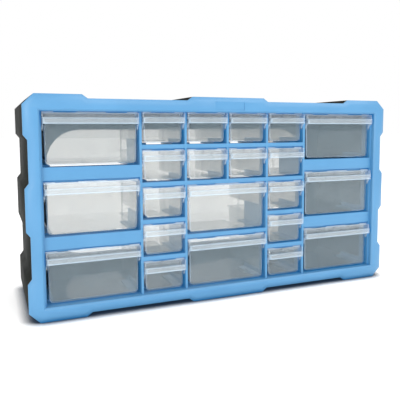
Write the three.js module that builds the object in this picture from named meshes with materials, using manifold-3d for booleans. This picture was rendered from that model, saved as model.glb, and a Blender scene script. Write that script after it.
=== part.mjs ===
// Drawer cabinet for small parts: a notched plastic frame with a grid of cells on
// the front of an open-backed shell, and clear drawers of two sizes that slide in it.
// Millimetres. +X is the cabinet's width, +Y runs from the front to the back, +Z is up.
// The origin is on the ground, under the middle of the cabinet.

import * as THREE from 'three';
import { mergeVertices } from 'three/addons/utils/BufferGeometryUtils.js';
import Module from 'manifold-3d';

const wasm = await Module();
wasm.setup();

// Overall size. Inside the cabinet group X, Y and Z are measured from the front
// bottom left corner of this box.
const WIDTH = 500;
const DEPTH = 160;
const HEIGHT = 260;

// Notched outline, shared by the frame and the shell
const NOTCH = 4.6;
const RAMP_X = 6.5;
const RAMP_Z = 6;
const CORNER_X = 12.4;
const CORNER_Z = 12.1;
const CORNER_TAB_X = 65;
const CORNER_TAB_Z = 45.5;
const CENTRE_TAB_X = 100;
const CENTRE_TAB_Z = 48.6;

// Front frame: a bevelled rim round a recessed grid
const RIM_BACK = 5;
const BEVEL_WIDTH = 7;
const BEVEL_DEPTH = 3;
const OPENING = { left: 18, right: 482, bottom: 17, top: 241 };
const GRID_TOP = 242.5;
const MOUTH_BEVEL = 2;
const GRID_FRONT = 7.5;
const GRID_BACK = 26;
const TRAY_WALL = 3;
const BADGE = { x: 250, z: 249.2, width: 41, height: 10.4, depth: 0.8 };
const LIP_GAP = 0.4;
const LIP_WALL = 2;
const LIP_BACK = 12;

// Grid: large columns are two units wide and small columns one
const UNIT = (OPENING.right - OPENING.left) / 8;
const DIVIDER = 3;
const SIDE_MEMBER = 2;
const BAR = 5;
const WIDE_BAR = 15;
const SMALL_ROWS = 5;
const LARGE_ROWS = 3;
const CENTRE_BAR_TOP = 86.65;

// Stop lips under the bars, just behind a closed drawer's rim plate
const STOP_FRONT = 11.5;
const STOP_BACK = 14;
const STOP_DROP = 3;

// Drawer runners behind the grid. Their ledges stand a little higher than the bars.
const RUNNER_BACK = 72;
const RUNNER_WALL = 2.4;
const RUNNER_RISE = 6.5;
const LEDGE_REACH = 12;
const LEDGE_RISE = 1.6;
const LEDGE_THICKNESS = 2.6;

// Shell
const SHELL_FRONT = 5.3;
const SHELL_WALL = 3;
const WINDOW = { left: 39, right: 461, bottom: 40, top: 219.5, radius: 46 };

// Drawers
const LARGE = { boxHalf: 53.5, pullHalf: 55.5, height: 61.2, tabHalf: 17, endTab: 13 };
const SMALL = { boxHalf: 25, pullHalf: 27, height: 38, tabHalf: 0, endTab: 12 };
const DRAWER_LIFT = 2;
const DRAWER_FRONT = 9.5;
const DRAWER_BACK = 140;
const DRAWER_WALL = 1.5;
const CORNER_RADIUS = 5;
const DRAFT_DOWN = 0.8;
const DRAFT_BACK = 0.8;
const WALL_DROP = 4;
const TAB_RISE = 1.2;
const EDGE_LIP = 1.2;
const EDGE_LIP_HEIGHT = 2;
const PULL_FRONT = 0.5;
const PULL_CORNER = 3;
const FLANGE_DROP = 6.8;
const SKIRT_DROP = 14;
const CHEEK_DROP = 22;
const RIM_PLATE_DROP = 16;
const CATCH = { bottomHalf: 6, topHalf: 4, front: 7.5 };
const RIB = { first: 75.4, second: 79.6, width: 1.3, proud: 1, topDrop: 3 };

const FRAME_BLUE = 0x74b0ea;
const SHELL_BLACK = 0x23241f;
const DRAWER_CLEAR = 0xdfe4e2;

// Solids -------------------------------------------------------------------

function solidFrom(geometry) {
  const bare = geometry.clone();
  bare.deleteAttribute('normal');
  bare.deleteAttribute('uv');
  const merged = mergeVertices(bare, 1e-4);
  const vertProperties = new Float32Array(merged.attributes.position.array);
  const triVerts = new Uint32Array(merged.index.array);
  return new wasm.Manifold(new wasm.Mesh({ numProp: 3, vertProperties, triVerts }));
}

function meshFrom(name, solid, material) {
  const { vertProperties, triVerts } = solid.getMesh();
  const geometry = new THREE.BufferGeometry();
  geometry.setAttribute('position', new THREE.BufferAttribute(vertProperties, 3));
  geometry.setIndex(new THREE.BufferAttribute(triVerts, 1));
  geometry.computeVertexNormals();
  const mesh = new THREE.Mesh(geometry, material);
  mesh.name = name;
  return mesh;
}

// A box between two values on each axis
function block(x0, x1, y0, y1, z0, z1) {
  const geometry = new THREE.BoxGeometry(x1 - x0, y1 - y0, z1 - z0);
  geometry.translate((x0 + x1) / 2, (y0 + y1) / 2, (z0 + z1) / 2);
  return solidFrom(geometry);
}

// A solid through sections given from the lowest place to the highest. Each section
// has the same number of points, anticlockwise in its own plane, and `put` turns a
// section's point and its place into X, Y and Z. `mirrored` says that the plane's own
// normal points along the stack.
function loft(sections, put, mirrored) {
  const count = sections[0].points.length;
  const positions = sections.flatMap(({ points, at }) => points.flatMap((p) => put(p, at)));
  const cap = THREE.ShapeUtils.triangulateShape(sections[0].points, []);
  const last = (sections.length - 1) * count;
  const faces = [...cap, ...cap.map(([a, b, c]) => [last + a, last + c, last + b])];
  for (let s = 0; s < last; s += count) {
    for (let i = 0; i < count; i += 1) {
      const a = s + i;
      const b = s + ((i + 1) % count);
      faces.push([a, a + count, b], [b, a + count, b + count]);
    }
  }
  const geometry = new THREE.BufferGeometry();
  geometry.setAttribute('position', new THREE.Float32BufferAttribute(positions, 3));
  geometry.setIndex(faces.flatMap(([a, b, c]) => (mirrored ? [a, c, b] : [a, b, c])));
  return solidFrom(geometry);
}

// Sections drawn in X and Z, stacked along Y
const alongY = (sections) => loft(sections, (p, y) => [p.x, y, p.y], false);

// One section drawn in Y and Z, stretched along X
const alongX = (points, x0, x1) =>
  loft([{ points, at: x0 }, { points, at: x1 }], (p, x) => [x, p.x, p.y], true);

// One section drawn in X and Y, stretched along Z
const alongZ = (points, z0, z1) =>
  loft([{ points, at: z0 }, { points, at: z1 }], (p, z) => [p.x, p.y, z], true);

const union = (solids) => solids.reduce((whole, next) => whole.add(next));

// Points of an arc round a centre, in degrees
function arc(cx, cy, radius, from, to, steps) {
  return Array.from({ length: steps + 1 }, (_, i) => {
    const angle = THREE.MathUtils.degToRad(from + ((to - from) * i) / steps);
    return new THREE.Vector2(cx + radius * Math.cos(angle), cy + radius * Math.sin(angle));
  });
}

// Outline ------------------------------------------------------------------

// One quarter of the notched outline, from the middle of the bottom edge to the
// middle of the right side, measured from the cabinet's centre
function outlineQuarter() {
  const x = WIDTH / 2;
  const z = HEIGHT / 2;
  return [
    [CENTRE_TAB_X / 2, -z],
    [CENTRE_TAB_X / 2 + RAMP_X, -z + NOTCH],
    [x - CORNER_TAB_X - RAMP_X, -z + NOTCH],
    [x - CORNER_TAB_X, -z],
    [x - CORNER_X, -z],
    [x, -z + CORNER_Z],
    [x, -z + CORNER_TAB_Z],
    [x - NOTCH, -z + CORNER_TAB_Z + RAMP_Z],
    [x - NOTCH, -CENTRE_TAB_Z / 2 - RAMP_Z],
    [x, -CENTRE_TAB_Z / 2],
  ];
}

function outline() {
  const quarter = outlineQuarter();
  const mirrored = [...quarter].reverse();
  const around = [
    ...quarter,
    ...mirrored.map(([x, z]) => [x, -z]),
    ...quarter.map(([x, z]) => [-x, -z]),
    ...mirrored.map(([x, z]) => [-x, z]),
  ];
  return around.map(([x, z]) => new THREE.Vector2(x + WIDTH / 2, z + HEIGHT / 2));
}

// The outline moved inwards by a distance, with mitred corners
function inset(points, distance) {
  return points.map((point, i) => {
    const before = points[(i + points.length - 1) % points.length];
    const after = points[(i + 1) % points.length];
    const along = point.clone().sub(before).normalize();
    const onward = after.clone().sub(point).normalize();
    const normal = new THREE.Vector2(-along.y - onward.y, along.x + onward.x).normalize();
    const share = normal.dot(new THREE.Vector2(-along.y, along.x));
    return point.clone().addScaledVector(normal, distance / share);
  });
}

// Grid layout --------------------------------------------------------------

const columnLine = (unit) => OPENING.left + unit * UNIT;

function rowsOf(count, bar, bottom, top) {
  const height = (top - bottom - bar * (count - 1)) / count;
  return Array.from({ length: count }, (_, i) => {
    const rowTop = top - i * (height + bar);
    return { bottom: rowTop - height, top: rowTop };
  });
}

// Every cell: its unit columns, the heights of its opening, and its drawer
function gridCells() {
  const smallRows = rowsOf(SMALL_ROWS, BAR, OPENING.bottom, GRID_TOP);
  const largeRows = rowsOf(LARGE_ROWS, WIDE_BAR, OPENING.bottom, GRID_TOP);
  const cells = [];
  largeRows.forEach((row, i) => {
    cells.push({ name: `large_drawer_left_${i + 1}`, from: 0, to: 2, ...row, drawer: LARGE });
    cells.push({ name: `large_drawer_right_${i + 1}`, from: 6, to: 8, ...row, drawer: LARGE });
  });
  smallRows.forEach((row, i) => {
    const columns = i < 2 ? [0, 1, 2, 3] : [0, 3];
    columns.forEach((column) => {
      const name = `small_drawer_row_${i + 1}_column_${column + 1}`;
      cells.push({ name, from: 2 + column, to: 3 + column, ...row, drawer: SMALL });
    });
  });
  const centre = { from: 3, to: 5, drawer: LARGE };
  const upper = { bottom: CENTRE_BAR_TOP, top: smallRows[2].top };
  const lower = { bottom: OPENING.bottom, top: CENTRE_BAR_TOP - BAR };
  cells.push({ name: 'large_drawer_centre_1', ...centre, ...upper });
  cells.push({ name: 'large_drawer_centre_2', ...centre, ...lower });
  return cells;
}

// Front frame --------------------------------------------------------------

// The sides of one cell's hole: half a divider, or a narrow side member beside the rim
function cellSides(cell) {
  const left = columnLine(cell.from) + (cell.from === 0 ? SIDE_MEMBER : DIVIDER / 2);
  const right = columnLine(cell.to) - (cell.to === 8 ? SIDE_MEMBER : DIVIDER / 2);
  return [left, right];
}

const cellHole = (cell) =>
  block(...cellSides(cell), GRID_FRONT - 1, GRID_BACK + 1, cell.bottom, cell.top);

// The lip that a closed drawer's rim plate rests against
function cellStop(cell) {
  const [left, right] = cellSides(cell);
  const low = cell.top - STOP_DROP;
  return block(left - 0.5, right + 0.5, STOP_FRONT, STOP_BACK, low, cell.top + 0.5);
}

// The two ledges that a drawer slides on, each with its low guide wall
function cellRunners(cell) {
  const y0 = GRID_BACK - 0.5;
  return [cell.from, cell.to].flatMap((unit, side) => {
    const x = columnLine(unit);
    const inward = side === 0 ? 1 : -1;
    const reach = [x - (inward * RUNNER_WALL) / 2, x + inward * LEDGE_REACH].sort((a, b) => a - b);
    const wall = [x - RUNNER_WALL / 2, x + RUNNER_WALL / 2];
    const top = cell.bottom + LEDGE_RISE;
    const low = top - LEDGE_THICKNESS;
    return [
      block(...reach, y0, RUNNER_BACK, low, top),
      block(...wall, y0, RUNNER_BACK, low, cell.bottom + RUNNER_RISE),
    ];
  });
}

// Tall guide walls join the runners of small cells to those of the large cells beside them
function tallGuides(cells) {
  const rowBottom = (row) => cells.find((c) => c.name === `small_drawer_row_${row}_column_1`).bottom;
  const guide = (unit, low, high) => {
    const x = columnLine(unit);
    return block(x - RUNNER_WALL / 2, x + RUNNER_WALL / 2, GRID_BACK - 0.5, RUNNER_BACK, low, high);
  };
  const lowSpan = [rowBottom(4), rowBottom(3) + RUNNER_RISE];
  const highSpan = [rowBottom(2), rowBottom(1) + RUNNER_RISE];
  return [
    ...[2, 3, 5, 6].map((unit) => guide(unit, ...lowSpan)),
    ...[2, 6].map((unit) => guide(unit, ...highSpan)),
  ];
}

// The rim's opening, made larger all round by a margin
const mouthPoints = (margin) => [
  new THREE.Vector2(OPENING.left - margin, OPENING.bottom - margin),
  new THREE.Vector2(OPENING.right + margin, OPENING.bottom - margin),
  new THREE.Vector2(OPENING.right + margin, OPENING.top + margin),
  new THREE.Vector2(OPENING.left - margin, OPENING.top + margin),
];

function frameSolid(cells) {
  const edge = outline();
  const rim = alongY([
    { points: inset(edge, BEVEL_WIDTH), at: 0 },
    { points: edge, at: BEVEL_DEPTH },
    { points: edge, at: RIM_BACK },
  ]);
  const lipOuter = inset(edge, SHELL_WALL + LIP_GAP);
  const lipInner = inset(edge, SHELL_WALL + LIP_GAP + LIP_WALL);
  const lip = alongY([
    { points: lipOuter, at: RIM_BACK - 1 },
    { points: lipOuter, at: LIP_BACK },
  ]).subtract(alongY([
    { points: lipInner, at: RIM_BACK },
    { points: lipInner, at: LIP_BACK + 1 },
  ]));
  const tray = block(
    OPENING.left - TRAY_WALL,
    OPENING.right + TRAY_WALL,
    RIM_BACK - 1,
    GRID_BACK,
    OPENING.bottom - TRAY_WALL,
    GRID_TOP + TRAY_WALL,
  );
  const mouth = alongY([
    { points: mouthPoints(MOUTH_BEVEL * 1.5), at: -MOUTH_BEVEL / 2 },
    { points: mouthPoints(0), at: MOUTH_BEVEL },
    { points: mouthPoints(0), at: GRID_FRONT },
  ]);
  const badge = block(
    BADGE.x - BADGE.width / 2,
    BADGE.x + BADGE.width / 2,
    -1,
    BADGE.depth,
    BADGE.z - BADGE.height / 2,
    BADGE.z + BADGE.height / 2,
  );
  const plate = union([rim, lip, tray]).subtract(union([mouth, badge, ...cells.map(cellHole)]));
  return union([
    plate,
    ...cells.map(cellStop),
    ...cells.flatMap(cellRunners),
    ...tallGuides(cells),
  ]);
}

// Shell --------------------------------------------------------------------

function shellSolid() {
  const edge = outline();
  const inside = inset(edge, SHELL_WALL);
  const outer = alongY([{ points: edge, at: SHELL_FRONT }, { points: edge, at: DEPTH }]);
  const hollow = alongY([
    { points: inside, at: SHELL_FRONT - 1 },
    { points: inside, at: DEPTH - SHELL_WALL },
  ]);
  const { left, right, bottom, top, radius } = WINDOW;
  const steps = 6;
  const windowPoints = [
    ...arc(right - radius, bottom + radius, radius, -90, 0, steps),
    ...arc(right - radius, top - radius, radius, 0, 90, steps),
    ...arc(left + radius, top - radius, radius, 90, 180, steps),
    ...arc(left + radius, bottom + radius, radius, 180, 270, steps),
  ];
  const window = alongY([
    { points: windowPoints, at: DEPTH - SHELL_WALL - 1 },
    { points: windowPoints, at: DEPTH + 1 },
  ]);
  return outer.subtract(union([hollow, window]));
}

// Drawers ------------------------------------------------------------------

// A drawer's section, straight-topped, with rounded bottom corners. Its sides lean
// in towards the bottom, and `shrink` narrows the whole of it.
function drawerSection(half, radius, floor, top, shrink) {
  const low = half - shrink - DRAFT_DOWN;
  const steps = 3;
  return [
    ...arc(-low + radius, floor + radius, radius, 180, 270, steps),
    ...arc(low - radius, floor + radius, radius, 270, 360, steps),
    new THREE.Vector2(half - shrink, top),
    new THREE.Vector2(-half + shrink, top),
  ];
}

function drawerBox({ boxHalf, height }) {
  const top = height - WALL_DROP;
  const outer = alongY([
    { points: drawerSection(boxHalf, CORNER_RADIUS, 0, top, 0), at: DRAWER_FRONT },
    { points: drawerSection(boxHalf, CORNER_RADIUS, 0, top, DRAFT_BACK), at: DRAWER_BACK },
  ]);
  const innerRadius = CORNER_RADIUS - DRAWER_WALL;
  const section = (shrink) =>
    drawerSection(boxHalf - DRAWER_WALL, innerRadius, DRAWER_WALL, top + 1, shrink);
  const inner = alongY([
    { points: section(0), at: DRAWER_FRONT + DRAWER_WALL },
    { points: section(DRAFT_BACK), at: DRAWER_BACK - DRAWER_WALL },
  ]);
  return { outer, inner };
}

// Two ribs on each side wall hold a divider upright half way back
function dividerRibs({ boxHalf, height }) {
  const top = height - WALL_DROP - RIB.topDrop;
  return [RIB.first, RIB.second].flatMap((y) =>
    [-1, 1].map((side) => {
      const wall = side * (boxHalf - DRAWER_WALL - RIB.proud - DRAFT_DOWN);
      const x = [wall, side * (boxHalf - DRAWER_WALL / 2 - DRAFT_DOWN)].sort((a, b) => a - b);
      return block(...x, y, y + RIB.width, DRAWER_WALL / 2, top);
    }),
  );
}

function edgeLips({ boxHalf, height }) {
  const top = height - WALL_DROP;
  const y = [DRAWER_FRONT + DRAWER_WALL, DRAWER_BACK];
  return [-1, 1].map((side) => {
    const x = [side * (boxHalf - DRAWER_WALL / 2 - DRAFT_BACK), side * (boxHalf + EDGE_LIP)];
    return block(...x.sort((a, b) => a - b), ...y, top - EDGE_LIP_HEIGHT, top);
  });
}

// The pull: a flange that stands out of the front, its skirt with rounded corners,
// a full-height end cheek on each side, and a small catch at the middle
function drawerPull({ pullHalf, height }) {
  const flange = height - FLANGE_DROP;
  const skirt = height - SKIRT_DROP;
  const back = DRAWER_FRONT + DRAWER_WALL;
  const cornerBack = PULL_FRONT + PULL_CORNER;
  const steps = 2;
  const plan = (inwards, rear) => {
    const half = pullHalf - inwards;
    const radius = PULL_CORNER - inwards;
    return [
      new THREE.Vector2(-half, rear),
      ...arc(-half + radius, cornerBack, radius, 180, 270, steps),
      ...arc(half - radius, cornerBack, radius, 270, 360, steps),
      new THREE.Vector2(half, rear),
    ];
  };
  const cap = alongZ(plan(0, back), skirt, flange);
  const pocket = alongZ(plan(DRAWER_WALL, DRAWER_FRONT), skirt - 1, flange - DRAWER_WALL);
  const sweep = CHEEK_DROP - SKIRT_DROP;
  const cheekPoints = [
    new THREE.Vector2(back, height - TAB_RISE),
    new THREE.Vector2(cornerBack, height - TAB_RISE),
    ...arc(DRAWER_FRONT - sweep, skirt - sweep, sweep, 90, 0, steps).map(
      (p) => new THREE.Vector2(Math.max(p.x, cornerBack), p.y),
    ),
    new THREE.Vector2(back, skirt - sweep),
  ];
  const cheeks = [-pullHalf, pullHalf - DRAWER_WALL].map((x) =>
    alongX(cheekPoints, x, x + DRAWER_WALL));
  const catchPoints = [
    new THREE.Vector2(-CATCH.bottomHalf, flange - 0.5),
    new THREE.Vector2(CATCH.bottomHalf, flange - 0.5),
    new THREE.Vector2(CATCH.topHalf, height - TAB_RISE),
    new THREE.Vector2(-CATCH.topHalf, height - TAB_RISE),
  ];
  const middleCatch = alongY([
    { points: catchPoints, at: CATCH.front },
    { points: catchPoints, at: back },
  ]);
  return union([cap.subtract(pocket), ...cheeks, middleCatch]);
}

// The plate above the flange, with raised tabs along its top edge
function rimPlate({ pullHalf, height, tabHalf, endTab }) {
  const y = [DRAWER_FRONT, DRAWER_FRONT + DRAWER_WALL];
  const low = height - TAB_RISE;
  const solids = [
    block(-pullHalf, pullHalf, ...y, height - RIM_PLATE_DROP, low),
    block(-pullHalf, -pullHalf + endTab, ...y, low - 1, height),
    block(pullHalf - endTab, pullHalf, ...y, low - 1, height),
  ];
  if (tabHalf > 0) solids.push(block(-tabHalf, tabHalf, ...y, low - 1, height));
  return solids;
}

function drawerSolid(size) {
  const { outer, inner } = drawerBox(size);
  const box = union([outer, ...edgeLips(size)]).subtract(inner);
  return union([box, ...rimPlate(size), drawerPull(size), ...dividerRibs(size)]);
}

// Assembly -----------------------------------------------------------------

const clearPlastic = () => new THREE.MeshStandardMaterial({
  color: DRAWER_CLEAR,
  roughness: 0.15,
  metalness: 0,
  transparent: true,
  opacity: 0.4,
});

const cabinet = new THREE.Group();
cabinet.position.set(-WIDTH / 2, -DEPTH / 2, 0);

const cells = gridCells();
const blue = new THREE.MeshStandardMaterial({ color: FRAME_BLUE, roughness: 0.45, metalness: 0 });
const black = new THREE.MeshStandardMaterial({ color: SHELL_BLACK, roughness: 0.55, metalness: 0 });
cabinet.add(meshFrom('front_frame', frameSolid(cells), blue));
cabinet.add(meshFrom('rear_shell', shellSolid(), black));

const drawerSolids = new Map([LARGE, SMALL].map((size) => [size, drawerSolid(size)]));
for (const cell of cells) {
  const mesh = meshFrom(cell.name, drawerSolids.get(cell.drawer), clearPlastic());
  const x = (columnLine(cell.from) + columnLine(cell.to)) / 2;
  mesh.position.set(x, 0, cell.bottom + DRAWER_LIFT);
  cabinet.add(mesh);
}

const group = new THREE.Group();
group.add(cabinet);

export default group;
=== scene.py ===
"""Looks for the parts organizer: a blue front frame on a dark open-backed shell, with 22
clear drawers that slide in it. Metres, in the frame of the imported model: X is the width,
Y runs from the front to the back, Z is up and the ground is at Z = 0."""

import math
from collections import namedtuple

import bmesh
import bpy
from mathutils import Matrix, Vector


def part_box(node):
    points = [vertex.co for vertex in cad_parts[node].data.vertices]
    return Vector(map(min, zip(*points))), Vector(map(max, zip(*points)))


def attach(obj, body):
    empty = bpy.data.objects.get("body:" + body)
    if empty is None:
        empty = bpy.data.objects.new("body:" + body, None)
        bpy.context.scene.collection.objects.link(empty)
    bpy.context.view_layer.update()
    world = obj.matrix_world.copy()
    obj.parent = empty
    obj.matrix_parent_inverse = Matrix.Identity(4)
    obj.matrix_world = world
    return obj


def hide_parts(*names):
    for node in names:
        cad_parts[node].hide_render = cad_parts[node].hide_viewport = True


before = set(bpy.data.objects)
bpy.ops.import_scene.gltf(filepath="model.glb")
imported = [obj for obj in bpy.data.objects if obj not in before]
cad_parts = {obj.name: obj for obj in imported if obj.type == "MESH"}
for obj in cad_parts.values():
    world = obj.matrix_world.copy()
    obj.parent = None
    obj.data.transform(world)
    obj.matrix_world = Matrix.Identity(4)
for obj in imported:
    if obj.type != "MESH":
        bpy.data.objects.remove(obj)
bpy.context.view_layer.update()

MM = 0.001

# Camera, in the frame of the model
CAMERA_PLACE = Vector((-0.28525, -0.67981, 0.22073))
CAMERA_YAW = 0.4049
CAMERA_PITCH = -0.092
CAMERA_ROLL = -0.0027
CAMERA_LENS_MM = 46.59
CAMERA_SHIFT = (-0.0255, -0.0593)

# World: its strength as seen by the camera, and as a light on the cabinet
BACKDROP = 1.0
AMBIENT = 0.8

# Floor: its own glow keeps it white, and a painted contact shadow darkens it up to
# CONTACT_SHADOW_REACH from a contact, where occlusion falls between the two ends of
# CONTACT_SHADOW_FADE
FLOOR_HALF_SIZE = 12
FLOOR_DROP = 0.2 * MM
FLOOR_GLOW = 0.42
CONTACT_SHADOW_REACH = 17 * MM
CONTACT_SHADOW_FADE = (0.42, 0.96)
CONTACT_SHADOW_COLOUR = (0.02, 0.04, 0.075)

# Softboxes: place, width, height and watts, all aimed at the middle of the cabinet
LIGHT_AIM = (0, 0, 0.13)
SOFTBOXES = {
    "softbox_high": ((0.6, -1.15, 1.5), 1.6, 1.0, 16),
    "softbox_left": ((-1.35, -1.6, 0.6), 0.8, 1.0, 13),
}

# Drawer walls and pull, shared by both sizes
WALL = 1.5 * MM
CORNER = 5 * MM
EDGE_ROUND = 1.6 * MM
DRAFT = 0.8 * MM
WALL_DROP = 4 * MM
TAB_RISE = 1.2 * MM
LIP_REACH = 1.2 * MM
LIP_HEIGHT = 2 * MM
PULL_DEPTH = 9 * MM
PULL_CORNER = 3 * MM
PULL_OVERHANG = 2 * MM
FLANGE_DROP = 6.8 * MM
SKIRT_DROP = 14 * MM
CHEEK_DROP = 22 * MM
RIM_PLATE_DROP = 16 * MM
CATCH_LOW = 6 * MM
CATCH_HIGH = 4 * MM
CATCH_DEPTH = 2 * MM
RIB_DEPTHS = (65.9 * MM, 70.1 * MM)
RIB_WIDTH = 1.3 * MM
RIB_PROUD = 1 * MM
GATE_RADIUS = 2.2 * MM
GATE_HEIGHT = 0.5 * MM
SOFT_EDGE = 0.3 * MM
# Height of the strips along the drawer rims that get the painted edge highlight
EDGE_STRIP = 1.3 * MM

DrawerKind = namedtuple("DrawerKind", "prefix middle_tab end_tab")
LARGE = DrawerKind("large_drawer", 17 * MM, 13 * MM)
SMALL = DrawerKind("small_drawer", 0.0, 12 * MM)

# Frame and shell edges. Painted shade: a gap deepens the colour of the plastic up to
# PAINTED_SHADE_REACH away, where occlusion falls between the two ends of
# PAINTED_SHADE_OPENING. That fades between the two places in Y of PAINTED_SHADE_FADE,
# where DEEP_LIGHT of the plain colour is back. The painted shade colour also glows, a
# painted glow, with a strength of up to PAINTED_GAP_GLOW.
PAINTED_SHADE_REACH = 9 * MM
PAINTED_SHADE_OPENING = (0.1, 0.62)
PAINTED_SHADE_FADE = (-65 * MM, -59 * MM)
DEEP_LIGHT = 0.7
PAINTED_GAP_GLOW = 0.45
MOULDED_EDGE = 0.65 * MM
SHELL_EDGE = 0.6 * MM


# Meshes -------------------------------------------------------------------------------


def arc(cx, cz, radius, start, end, steps):
    """Points of an arc round a centre, from one angle to another in degrees."""
    angles = [math.radians(start + (end - start) * i / steps) for i in range(steps + 1)]
    return [(cx + radius * math.cos(a), cz + radius * math.sin(a)) for a in angles]


def new_object(name, mesh):
    piece = bpy.data.objects.new(name, mesh)
    bpy.context.scene.collection.objects.link(piece)
    return piece


def solid(points, faces):
    """A temporary object with a closed mesh, its faces pointing out."""
    mesh = bpy.data.meshes.new("solid")
    mesh.from_pydata(points, [], faces)
    work = bmesh.new()
    work.from_mesh(mesh)
    bmesh.ops.recalc_face_normals(work, faces=work.faces[:])
    work.to_mesh(mesh)
    work.free()
    return new_object("solid", mesh)


def loft(sections, place):
    """A solid through (outline, distance) pairs whose outlines have the same number of
    points. `place` turns an outline's point and its distance into X, Y and Z."""
    count = len(sections[0][0])
    points = [place(p, at) for outline, at in sections for p in outline]
    faces = [list(range(count)), list(range(len(points) - count, len(points)))]
    for s in range(len(sections) - 1):
        for i in range(count):
            a, b = s * count + i, s * count + (i + 1) % count
            faces.append((a, b, b + count, a + count))
    return solid(points, faces)


def along_x(outline, x0, x1):
    return loft([(outline, x0), (outline, x1)], lambda p, x: (x, p[0], p[1]))


def along_y(sections):
    return loft(sections, lambda p, y: (p[0], y, p[1]))


def along_z(outline, z0, z1):
    return loft([(outline, z0), (outline, z1)], lambda p, z: (p[0], p[1], z))


def block(x0, x1, y0, y1, z0, z1):
    return along_y([([(x0, z0), (x1, z0), (x1, z1), (x0, z1)], y) for y in (y0, y1)])


def combine(base, others, operation):
    """Joins the other solids to the base, or cuts them from it, and uses them up."""
    for other in others:
        step = base.modifiers.new("step", "BOOLEAN")
        step.operation = operation
        step.solver = "MANIFOLD"
        step.object = other
    graph = bpy.context.evaluated_depsgraph_get()
    made = bpy.data.meshes.new_from_object(base.evaluated_get(graph))
    base.modifiers.clear()
    base.data = made
    for other in others:
        bpy.data.objects.remove(other)
    return base


def union(solids):
    return combine(solids[0], solids[1:], "UNION")


def merge_flat_faces(mesh):
    """Removes the lines that booleans and triangles leave inside flat faces."""
    work = bmesh.new()
    work.from_mesh(mesh)
    bmesh.ops.remove_doubles(work, verts=work.verts[:], dist=0.005 * MM)
    bmesh.ops.dissolve_limit(
        work,
        angle_limit=math.radians(1),
        verts=work.verts[:],
        edges=work.edges[:],
    )
    work.to_mesh(mesh)
    work.free()


def soften(piece, width, segments, edge_material):
    """Rounds the piece's sharp edges, and shades it smooth."""
    bevel = piece.modifiers.new("soft_edges", "BEVEL")
    bevel.limit_method = "ANGLE"
    bevel.angle_limit = math.radians(40)
    bevel.width = width
    bevel.segments = segments
    bevel.harden_normals = True
    bevel.material = edge_material
    for polygon in piece.data.polygons:
        polygon.use_smooth = True
    return piece


# Materials ----------------------------------------------------------------------------


def node_tree(name):
    material = bpy.data.materials.new(name)
    material.use_nodes = True
    tree = material.node_tree
    tree.nodes.clear()
    return material, tree


def add_node(tree, kind, **values):
    """A node with its sockets set by name, or by number as in_0."""
    node = tree.nodes.new(kind)
    for key, value in values.items():
        if key.startswith("in_"):
            node.inputs[int(key[3:])].default_value = value
        elif key in node.inputs:
            node.inputs[key].default_value = value
        else:
            setattr(node, key, value)
    return node


def noise(tree, scale, detail, roughness=0.5):
    place = add_node(tree, "ShaderNodeTexCoord")
    texture = add_node(
        tree, "ShaderNodeTexNoise", Scale=scale, Detail=detail, Roughness=roughness
    )
    tree.links.new(place.outputs["Object"], texture.inputs["Vector"])
    return texture.outputs["Fac"]


def between(tree, factor, low, high, start=0.3, end=0.7):
    """Maps a noise to a range of values."""
    mapped = add_node(tree, "ShaderNodeMapRange")
    for socket, value in zip(mapped.inputs[1:5], (start, end, low, high)):
        socket.default_value = value
    tree.links.new(factor, mapped.inputs[0])
    return mapped.outputs[0]


def two_colours(tree, factor, first, second):
    ramp = tree.nodes.new("ShaderNodeValToRGB")
    ramp.color_ramp.elements[0].position = 0.35
    ramp.color_ramp.elements[0].color = (*first, 1)
    ramp.color_ramp.elements[1].position = 0.65
    ramp.color_ramp.elements[1].color = (*second, 1)
    tree.links.new(factor, ramp.inputs[0])
    return ramp.outputs[0]


def bump(tree, height, strength, distance):
    node = add_node(tree, "ShaderNodeBump", Strength=strength, Distance=distance)
    tree.links.new(height, node.inputs["Height"])
    return node.outputs["Normal"]


def finish(tree, shader):
    output = tree.nodes.new("ShaderNodeOutputMaterial")
    tree.links.new(shader, output.inputs["Surface"])


def paint_gap_shade(tree, colour, painted_shade_colour):
    """Paints shade: turns a colour into a deeper one inside narrow gaps and close corners
    near the front, by occlusion. Further back, light that comes through the clear drawers
    evens it out, so the painted shade fades there. Returns the colour and the share of it
    that isn't the painted shade."""
    openness = add_node(tree, "ShaderNodeAmbientOcclusion", samples=8, Distance=PAINTED_SHADE_REACH)
    unshaded_share = between(tree, openness.outputs["AO"], 0, 1, *PAINTED_SHADE_OPENING)
    place = add_node(tree, "ShaderNodeTexCoord")
    axes = add_node(tree, "ShaderNodeSeparateXYZ")
    tree.links.new(place.outputs["Object"], axes.inputs[0])
    deep_share = between(tree, axes.outputs["Y"], 0, DEEP_LIGHT, *PAINTED_SHADE_FADE)
    share = add_node(tree, "ShaderNodeMath", operation="MAXIMUM")
    tree.links.new(unshaded_share, share.inputs[0])
    tree.links.new(deep_share, share.inputs[1])
    mixed = add_node(tree, "ShaderNodeMixRGB", Color1=(*painted_shade_colour, 1))
    tree.links.new(share.outputs[0], mixed.inputs["Fac"])
    tree.links.new(colour, mixed.inputs["Color2"])
    return mixed.outputs[0], share.outputs[0]


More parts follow.
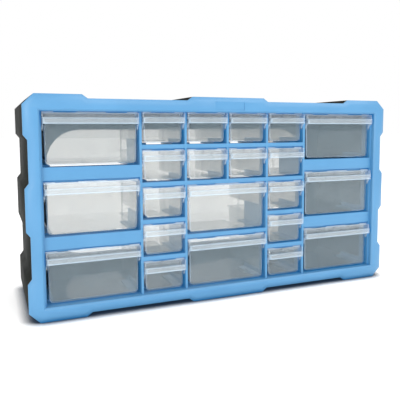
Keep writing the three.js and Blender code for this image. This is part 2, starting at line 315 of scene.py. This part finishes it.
def moulded_plastic(
    name, first, second, painted_shade_colour, roughness, mirror, grain_scale, grain_depth
):
    """Opaque moulded plastic: faint flow marks in the colour, uneven gloss, fine grain, and
    painted shade with a painted glow in its gaps.
    """
    material, tree = node_tree(name)
    shader = add_node(
        tree, "ShaderNodeBsdfPrincipled", **{"IOR": 1.49, "Specular IOR Level": mirror}
    )
    flow = noise(tree, 18, 4)
    plain = two_colours(tree, flow, first, second)
    colour, unshaded_share = paint_gap_shade(tree, plain, painted_shade_colour)
    tree.links.new(colour, shader.inputs["Base Color"])
    # Painted glow: the plastic glows in its painted shade colour where that shade is deepest
    shader.inputs["Emission Color"].default_value = (*painted_shade_colour, 1)
    painted_glow_strength = between(tree, unshaded_share, PAINTED_GAP_GLOW, 0, 0, 1)
    tree.links.new(painted_glow_strength, shader.inputs["Emission Strength"])
    gloss = between(tree, noise(tree, 55, 5, 0.6), *roughness)
    tree.links.new(gloss, shader.inputs["Roughness"])
    grain = bump(tree, noise(tree, grain_scale, 2), 0.35, grain_depth)
    tree.links.new(grain, shader.inputs["Normal"])
    finish(tree, shader.outputs[0])
    return material


def clear_plastic(name, tint, haze_colour, haze_range, mirror, ripple_strength):
    """Thin clear plastic: light goes straight through, the outside of each wall mirrors
    by its angle, and a little haze scatters the light."""
    material, tree = node_tree(name)
    through = add_node(tree, "ShaderNodeBsdfTransparent", Color=(*tint, 1))
    haze = add_node(
        tree,
        "ShaderNodeBsdfPrincipled",
        **{"Base Color": (*haze_colour, 1), "Roughness": 0.5, "Specular IOR Level": 0.2},
    )
    hazy = tree.nodes.new("ShaderNodeMixShader")
    cloud = between(tree, noise(tree, 40, 5, 0.6), *haze_range)
    tree.links.new(cloud, hazy.inputs[0])
    tree.links.new(through.outputs[0], hazy.inputs[1])
    tree.links.new(haze.outputs[0], hazy.inputs[2])

    gloss = add_node(tree, "ShaderNodeBsdfAnisotropic", Color=(1, 1, 1, 1), Roughness=0.06)
    ripple = bump(tree, noise(tree, 30, 2), ripple_strength, 0.6 * MM)
    tree.links.new(ripple, gloss.inputs["Normal"])
    angle = add_node(tree, "ShaderNodeFresnel", IOR=1.5)
    side = tree.nodes.new("ShaderNodeNewGeometry")
    front = add_node(tree, "ShaderNodeMath", operation="SUBTRACT", in_0=mirror)
    scaled_back = add_node(tree, "ShaderNodeMath", operation="MULTIPLY", in_1=mirror)
    tree.links.new(side.outputs["Backfacing"], scaled_back.inputs[0])
    tree.links.new(scaled_back.outputs[0], front.inputs[1])
    share = add_node(tree, "ShaderNodeMath", operation="MULTIPLY", use_clamp=True)
    tree.links.new(angle.outputs[0], share.inputs[0])
    tree.links.new(front.outputs[0], share.inputs[1])

    surface = tree.nodes.new("ShaderNodeMixShader")
    tree.links.new(share.outputs[0], surface.inputs[0])
    tree.links.new(hazy.outputs[0], surface.inputs[1])
    tree.links.new(gloss.outputs[0], surface.inputs[2])
    finish(tree, surface.outputs[0])
    return material


# Cabinet ------------------------------------------------------------------------------


def softened_copy(node, name, width, material):
    """A detailed copy of a CAD node's shape: its faces merged and its edges rounded."""
    piece = new_object(name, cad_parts[node].data.copy())
    merge_flat_faces(piece.data)
    piece.data.materials.clear()
    piece.data.materials.append(material)
    soften(piece, width, 2, -1)
    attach(piece, "cabinet")
    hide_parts(node)
    return piece


def make_cabinet():
    blue = moulded_plastic(
        "blue_plastic",
        first=(0.080, 0.262, 0.482),
        second=(0.091, 0.281, 0.508),
        # Colour of the painted shade and painted glow in the frame's gaps
        painted_shade_colour=(0.003, 0.130, 0.350),
        roughness=(0.34, 0.44),
        mirror=0.5,
        grain_scale=1600,
        grain_depth=0.10 * MM,
    )
    black = moulded_plastic(
        "black_plastic",
        first=(0.009, 0.011, 0.010),
        second=(0.015, 0.017, 0.015),
        # Colour of the painted shade and painted glow in the shell's gaps
        painted_shade_colour=(0.006, 0.007, 0.007),
        roughness=(0.55, 0.70),
        mirror=0.05,
        grain_scale=1100,
        grain_depth=0.18 * MM,
    )
    frame_piece = softened_copy("front_frame", "blue_front_frame", MOULDED_EDGE, blue)
    shell_piece = softened_copy("rear_shell", "black_rear_shell", SHELL_EDGE, black)


# Drawers ------------------------------------------------------------------------------


def drawer_section(half, radius, floor, top, steps):
    """A drawer's section: sides that lean in towards a floor with rounded corners."""
    low = half - DRAFT
    return [
        *arc(-low + radius, floor + radius, radius, 180, 270, steps),
        *arc(low - radius, floor + radius, radius, 270, 360, steps),
        (half, top),
        (-half, top),
    ]


def rounded_ends(half, radius, floor, top, y0, y1, end_radius):
    """Sections of a box along Y whose front and back edges are rounded."""
    steps = 5
    sections = []
    for i in range(steps + 1):
        angle = math.pi / 2 * i / steps
        inward = end_radius * (1 - math.sin(angle))
        at = y0 + end_radius * (1 - math.cos(angle))
        sections.append((inward, at, 0.0))
    back = [(inward, y0 + y1 - at, DRAFT) for inward, at, _ in reversed(sections)]
    return [
        (
            drawer_section(
                half - shrink - inward, max(radius - inward, 0.2 * MM), floor + inward, top, 8
            ),
            at,
        )
        for inward, at, shrink in [*sections, *back]
    ]


def drawer_box(half, height, depth):
    """The open-topped box, its long top edges turned out as lips."""
    top = height - WALL_DROP
    outer = along_y(rounded_ends(half, CORNER, 0, top, 0, depth, EDGE_ROUND))
    inner_radius = CORNER - WALL
    inner = along_y(
        rounded_ends(
            half - WALL, inner_radius, WALL, top + 1 * MM, WALL, depth - WALL, 0.8 * MM
        )
    )
    lips = []
    for side in (-1, 1):
        x = sorted((side * (half - WALL / 2 - DRAFT), side * (half + LIP_REACH)))
        lips.append(block(*x, WALL, depth, top - LIP_HEIGHT, top))
    shell = union([outer, *lips])
    return combine(shell, [inner], "DIFFERENCE")


def divider_ribs(half, height):
    """Two ribs on each side wall, which hold a divider upright half way back."""
    top = height - WALL_DROP - 3 * MM
    ribs = []
    for y in RIB_DEPTHS:
        for side in (-1, 1):
            inner = side * (half - WALL - RIB_PROUD - DRAFT)
            x = sorted((inner, side * (half - WALL / 2 - DRAFT)))
            ribs.append(block(*x, y, y + RIB_WIDTH, WALL / 2, top))
    return ribs


def gate_mark(depth):
    """The round mark that the mould's gate leaves in the middle of the floor."""
    disc = arc(0, depth / 2, GATE_RADIUS, 0, 360 - 15, 23)
    return along_z(disc, WALL / 2, WALL + GATE_HEIGHT)


def pull_plan(half, inwards, rear):
    radius = PULL_CORNER - inwards
    half -= inwards
    front = -PULL_DEPTH + inwards + radius
    return [
        (-half, rear),
        *arc(-half + radius, front, radius, 180, 270, 6),
        *arc(half - radius, front, radius, 270, 360, 6),
        (half, rear),
    ]


def pull(half, height):
    """The flange that stands out of the front, its skirt, cheeks and middle catch."""
    flange = height - FLANGE_DROP
    skirt = height - SKIRT_DROP
    cap = along_z(pull_plan(half, 0, WALL), skirt, flange)
    pocket = along_z(pull_plan(half, WALL, 0), skirt - 1 * MM, flange - WALL)
    cap = combine(cap, [pocket], "DIFFERENCE")
    sweep = CHEEK_DROP - SKIRT_DROP
    front = -PULL_DEPTH + PULL_CORNER
    curve = [
        (max(y, front), z) for y, z in arc(-sweep, skirt - sweep, sweep, 90, 0, 8)
    ]
    low, high = flange - 0.5 * MM, height - TAB_RISE
    cheek = [(WALL, high), (front, high), *curve, (WALL, skirt - sweep)]
    cheeks = [along_x(cheek, x, x + WALL) for x in (-half, half - WALL)]
    catch = [(-CATCH_LOW, low), (CATCH_LOW, low), (CATCH_HIGH, high), (-CATCH_HIGH, high)]
    return [cap, *cheeks, along_y([(catch, -CATCH_DEPTH), (catch, WALL)])]


def rim_plate(kind, half, height):
    """The plate above the flange, with raised tabs along its top edge."""
    low = height - TAB_RISE
    tabs = [(-half, -half + kind.end_tab), (half - kind.end_tab, half)]
    if kind.middle_tab:
        tabs.append((-kind.middle_tab, kind.middle_tab))
    plate = block(-half, half, 0, WALL, height - RIM_PLATE_DROP, low)
    return [plate, *(block(x0, x1, 0, WALL, low - 1 * MM, height) for x0, x1 in tabs)]


def cut_at_heights(mesh, levels):
    """Splits the faces at some heights, so that each side can have its own material."""
    work = bmesh.new()
    work.from_mesh(mesh)
    for level in levels:
        parts = [*work.verts, *work.edges, *work.faces]
        bmesh.ops.bisect_plane(
            work, geom=parts, dist=0.01 * MM, plane_co=(0, 0, level), plane_no=(0, 0, 1)
        )
    work.to_mesh(mesh)
    work.free()


def face_material(centre, normal, height):
    """0 for the box's thin walls, 1 where the plastic is seen edge on and gets a painted
    highlight, 2 for the pull.
    """
    flange, skirt = height - FLANGE_DROP, height - SKIRT_DROP
    rims = (height, height - TAB_RISE, height - WALL_DROP, skirt)
    if abs(normal.z) > 0.9 and min(abs(centre.z - level) for level in rims) < 0.1 * MM:
        return 1
    if centre.y < EDGE_ROUND and 0.15 < abs(normal.y) < 0.95:
        return 1
    upright = abs(normal.z) < 0.5
    if centre.y < -0.1 * MM:
        near_rim = centre.z < skirt + EDGE_STRIP or flange - WALL < centre.z < flange
        return 1 if upright and near_rim else 2
    if centre.y < WALL + 0.1 * MM and centre.z > flange:
        return 1 if upright and centre.z > height - TAB_RISE - EDGE_STRIP else 2
    return 0


def mark_materials(mesh, height):
    flange, skirt = height - FLANGE_DROP, height - SKIRT_DROP
    top_strip = height - TAB_RISE - EDGE_STRIP
    cut_at_heights(mesh, (skirt + EDGE_STRIP, flange - WALL, flange, top_strip))
    for polygon in mesh.polygons:
        polygon.material_index = face_material(polygon.center, polygon.normal, height)


def drawer_mesh(kind, pull_half, height, depth):
    """A drawer at its own origin: X in the middle, Y at its front wall, Z at its floor."""
    half = pull_half - PULL_OVERHANG
    parts = [
        drawer_box(half, height, depth),
        *pull(pull_half, height),
        *rim_plate(kind, pull_half, height),
        *divider_ribs(half, height),
        gate_mark(depth),
    ]
    whole = union(parts)
    mesh = whole.data
    bpy.data.objects.remove(whole)
    merge_flat_faces(mesh)
    return mesh


def make_drawers():
    materials = [
        clear_plastic(
            "clear_plastic",
            tint=(0.876, 0.863, 0.845),
            haze_colour=(0.62, 0.85, 1.0),
            haze_range=(0.075, 0.100),
            mirror=0.9,
            ripple_strength=0.06,
        ),
        # Whiter, hazier plastic for the edges: a painted highlight along them
        clear_plastic(
            "clear_plastic_edge_highlight",
            tint=(0.90, 0.915, 0.92),
            haze_colour=(0.72, 0.87, 1.0),
            haze_range=(0.26, 0.36),
            mirror=0.8,
            ripple_strength=0.02,
        ),
        clear_plastic(
            "clear_plastic_pull",
            tint=(0.92, 0.93, 0.93),
            haze_colour=(0.80, 0.89, 0.96),
            haze_range=(0.165, 0.195),
            mirror=0.7,
            ripple_strength=0.02,
        ),
    ]
    meshes = {}
    for node in sorted(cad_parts):
        kind = next((k for k in (LARGE, SMALL) if node.startswith(k.prefix)), None)
        if kind is None:
            continue
        low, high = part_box(node)
        if kind.prefix not in meshes:
            depth = high.y - low.y - PULL_DEPTH
            height = high.z - low.z
            mesh = drawer_mesh(kind, (high.x - low.x) / 2, height, depth)
            mesh.materials.clear()
            for material in materials:
                mesh.materials.append(material)
            mark_materials(mesh, height)
            meshes[kind.prefix] = mesh
        piece = new_object("clear_" + node, meshes[kind.prefix])
        piece.location = ((low.x + high.x) / 2, low.y + PULL_DEPTH, low.z)
        # The rounded edges get the painted edge highlight material too
        soften(piece, SOFT_EDGE, 2, 1)
        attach(piece, node)
        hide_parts(node)


# Stage --------------------------------------------------------------------------------


def make_floor():
    size = FLOOR_HALF_SIZE
    mesh = bpy.data.meshes.new("floor")
    corners = [(-size, -size, 0), (size, -size, 0), (size, size, 0), (-size, size, 0)]
    mesh.from_pydata(corners, [], [(0, 1, 2, 3)])
    floor = new_object("floor", mesh)
    floor.location.z = -FLOOR_DROP
    material, tree = node_tree("pale_floor")
    shader = add_node(tree, "ShaderNodeBsdfPrincipled", Roughness=0.6)
    tone = two_colours(tree, noise(tree, 3, 3), (0.95, 0.95, 0.95), (0.97, 0.97, 0.97))
    # Painted contact shadow: the floor's colour and glow darken where it is occluded
    openness = add_node(tree, "ShaderNodeAmbientOcclusion", samples=8, Distance=CONTACT_SHADOW_REACH)
    share = between(tree, openness.outputs["AO"], 0, 1, *CONTACT_SHADOW_FADE)
    contact = add_node(tree, "ShaderNodeMixRGB", Color1=(*CONTACT_SHADOW_COLOUR, 1))
    tree.links.new(share, contact.inputs["Fac"])
    tree.links.new(tone, contact.inputs["Color2"])
    tree.links.new(contact.outputs[0], shader.inputs["Base Color"])
    tree.links.new(contact.outputs[0], shader.inputs["Emission Color"])
    shader.inputs["Emission Strength"].default_value = FLOOR_GLOW
    finish(tree, shader.outputs[0])
    mesh.materials.append(material)


def make_light(name, place, aim, width, height, watts):
    data = bpy.data.lights.new(name, "AREA")
    data.shape = "RECTANGLE"
    data.size = width
    data.size_y = height
    data.energy = watts
    lamp = new_object(name, data)
    lamp.location = place
    lamp.rotation_mode = "QUATERNION"
    lamp.rotation_quaternion = (Vector(aim) - lamp.location).to_track_quat("-Z", "Y")


def make_world():
    world = bpy.data.worlds.new("white_studio")
    world.use_nodes = True
    tree = world.node_tree
    background = tree.nodes["Background"]
    background.inputs[0].default_value = (1, 1, 1, 1)
    seen = add_node(tree, "ShaderNodeLightPath")
    strength = between(tree, seen.outputs["Is Camera Ray"], AMBIENT, BACKDROP, 0, 1)
    tree.links.new(strength, background.inputs[1])
    bpy.context.scene.world = world
    bpy.context.scene.view_settings.view_transform = "Standard"


def make_camera():
    data = bpy.data.cameras.new("camera")
    data.lens = CAMERA_LENS_MM
    data.sensor_width = 36
    data.shift_x, data.shift_y = CAMERA_SHIFT
    camera = new_object("camera", data)
    turn = (
        Matrix.Rotation(-CAMERA_YAW, 4, "Z")
        @ Matrix.Rotation(math.pi / 2 + CAMERA_PITCH, 4, "X")
        @ Matrix.Rotation(CAMERA_ROLL, 4, "Z")
    )
    camera.matrix_world = Matrix.Translation(CAMERA_PLACE) @ turn
    bpy.context.scene.camera = camera


def make_stage():
    make_camera()
    make_world()
    make_floor()
    for name, (place, width, height, watts) in SOFTBOXES.items():
        make_light(name, place, LIGHT_AIM, width, height, watts)


def main():
    make_stage()
    make_cabinet()
    make_drawers()


main()
bpy.context.scene.cycles.transparent_max_bounces = 32
